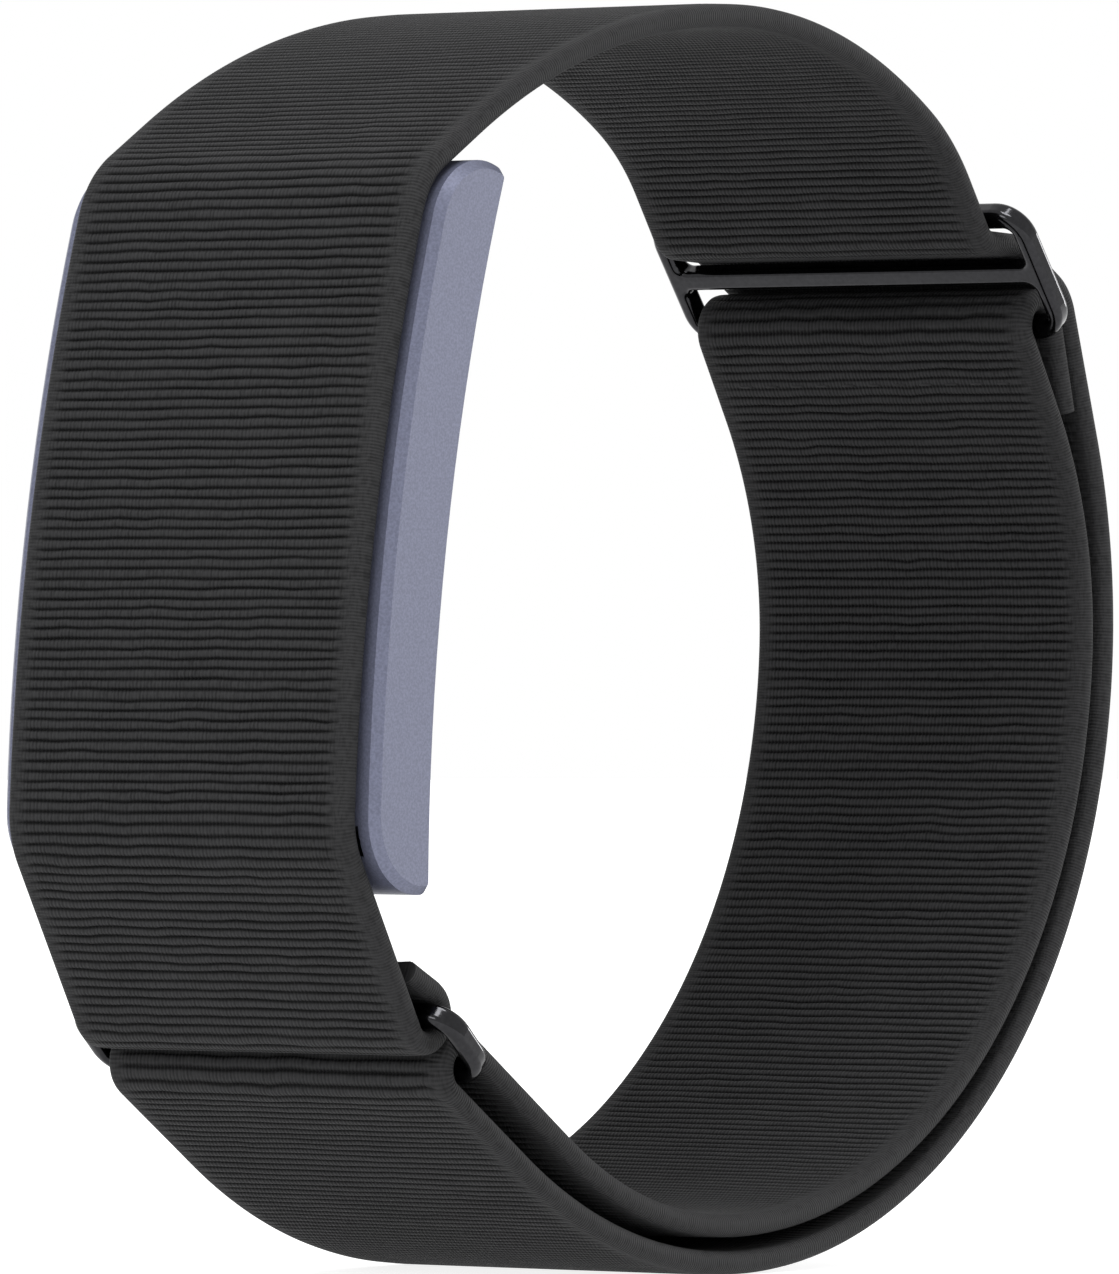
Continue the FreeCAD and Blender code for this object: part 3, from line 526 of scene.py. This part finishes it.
def sewing(name, rows, node, count, sink=0.02):
    """Stitches along rows of (spot, outward).  A stitch's middle line is at
    y = reach t / 2 and height rise (1 - t^4) - sunk depth for t from -1 to 1, inside a
    round thread."""
    t = np.linspace(-1, 1, TUBE_LINES)[None, None, :, None]
    turn = np.linspace(0, 2 * np.pi, TUBE_SIDES, endpoint=False)[None, None, None, :]
    spot, away = (np.array(c)[:, None, None, None] for c in zip(*rows))
    number = (np.arange(count) - (count - 1) / 2)[None, :, None, None]
    rise = ARCH_RISE * (1 - t ** 4) - ARCH_SINK - sink + THREAD * np.sin(turn)
    place = (spot + away * rise + 1j * away * THREAD * np.cos(turn)) * LEAN * MM
    place = place + 0 * number
    y = (number * STITCH_PITCH + STITCH_REACH / 2 * t) * MM + 0 * place.real
    vertices = np.stack([place.real, y, place.imag], -1).reshape(-1, 3)
    tube = grid_faces(TUBE_LINES, TUBE_SIDES, close_columns=True)
    ends = np.arange(TUBE_SIDES) + TUBE_SIDES * np.array([[0], [TUBE_LINES - 1]])
    first = np.arange(len(rows) * count)[:, None, None] * TUBE_LINES * TUBE_SIDES
    piece = put_in_scene(name, vertices, (first + tube).reshape(-1, 4),
                         flat_faces=(first + ends).reshape(-1, TUBE_SIDES))
    piece.data.materials.append(thread_finish)
    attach(piece, "band")
    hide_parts(node)


thread_finish, thread_shader, flow = finish_of("sewing_thread", sheen=0.05, specular=0.2)
position = flow.make("TexCoord", out="Object")
twist = flow.make("TexWave", {"Vector": position, "Scale": 1500.0, "Distortion": 1.5})
dress(thread_shader, flow, twist.mixed((0.002, 0.002, 0.002, 1), (0.022, 0.022, 0.023, 1)), 0.7,
      twist, 0.00002)
up_dir = (up_stop - up_root) / abs(up_stop - up_root)
sewing("upper_tape_sewing", [(up_root + up_dir * d - 1j * up_dir * TAB_THICK, -1j * up_dir)
                             for d in (1.5, 3.8)], "upper_tab_stitches", 9)
sewing("lower_tape_sewing", [(down_root + hem_dir * 1.3 - hem_out * TAB_THICK, -hem_out)],
       "lower_tab_stitches", 9)
hem_place, hem_heading = along(cover_course, np.array([0.7]))
hem_normal = 1j * np.exp(1j * hem_heading[0])
hem_side = -np.sign((hem_normal * hem_out.conjugate()).real)
sewing("cover_hem_sewing", [(hem_place[0] + hem_normal * hem_side * HALF_THICK,
                             hem_normal * hem_side)], "cover_hem_stitches", 11)
seam_place, seam_heading = along(inner_course, np.array([SEAM_PLACE]))
seam_in = 1j * np.exp(1j * seam_heading[0])
sewing("slider_hem_sewing", [(seam_place[0] + seam_in * HALF_THICK, seam_in)],
       "slider_hem_stitches", 11, 0.1)

# --------------------------------------------------------------- finishes of the CAD parts
# Metal, painted case, mouldings and electronics keep their CAD shape.
def solid_finish(name, colour, rough, metallic=0.0, coat=0.0, grain=2500.0, depth=0.00001,
                 spread=0.12, wear=0.15):
    """A moulded, painted or metal surface: fine grain in colour, roughness and height."""
    material, shader, flow = finish_of(name, metallic=metallic, coat=coat)
    place = flow.make("TexCoord", out="Object")
    fine = flow.make("TexNoise", {"Vector": place, "Scale": grain, "Detail": 3.0})
    broad = flow.make("TexNoise", {"Vector": place, "Scale": grain / 12, "Detail": 2.0})
    low = tuple(c * (1 - spread) for c in colour)
    high = tuple(min(1.0, c * (1 + spread)) for c in colour)
    tone = (fine * (1 - wear) + broad * wear).between(0.3, 0.7)
    dress(shader, flow, tone.mixed((*low, 1), (*high, 1)),
          broad.between(0.3, 0.7, rough * (1 - wear), rough * (1 + wear)), fine, depth)
    return material


finishes = {
    "gunmetal": solid_finish("gunmetal", (0.03, 0.03, 0.032), 0.13, 1.0, grain=4000,
                             depth=0.000002),
    "pod_shell": solid_finish("blue_grey_paint", (0.118, 0.126, 0.182), 0.42, 0.45, 0.0,
                              grain=7000, depth=0.000002, spread=0.16, wear=0.02),
    "back_shell": solid_finish("black_moulding", (0.022, 0.022, 0.024), 0.55, grain=5000),
    "window": solid_finish("tinted_window", (0.012, 0.012, 0.016), 0.06, coat=1.0,
                           depth=0.0000005),
    "seal_rubber": solid_finish("seal_rubber", (0.03, 0.03, 0.03), 0.75),
    "battery_foil": solid_finish("cell_foil", (0.62, 0.62, 0.64), 0.35, 0.9, grain=900),
    "board": solid_finish("board_mask", (0.02, 0.12, 0.05), 0.35, coat=0.4),
    "chip": solid_finish("chip_moulding", (0.02, 0.02, 0.022), 0.5),
    "film": solid_finish("amber_film", (0.45, 0.2, 0.04), 0.3, coat=0.3),
    "steel": solid_finish("plain_steel", (0.55, 0.55, 0.57), 0.28, 1.0, grain=3000),
    "led": solid_finish("clear_resin", (0.8, 0.78, 0.6), 0.15, coat=0.6),
    "contact_gold": solid_finish("gold_plate", (0.9, 0.62, 0.25), 0.2, 1.0),
    "tungsten": solid_finish("sintered_weight", (0.25, 0.25, 0.26), 0.5, 1.0),
    "thread": solid_finish("sewing_thread", (0.02, 0.02, 0.021), 0.7, grain=6000),
    "tab_webbing": solid_finish("tab_cloth", (0.02, 0.02, 0.021), 0.8, grain=4000),
}
node_slots = {p["node"]: p["material_slot"] for p in frame["record"]["subparts"]}
for node, solid in frame["nodes"].items():
    if node_slots[node] in finishes:
        solid.data.materials.clear()
        solid.data.materials.append(finishes[node_slots[node]])
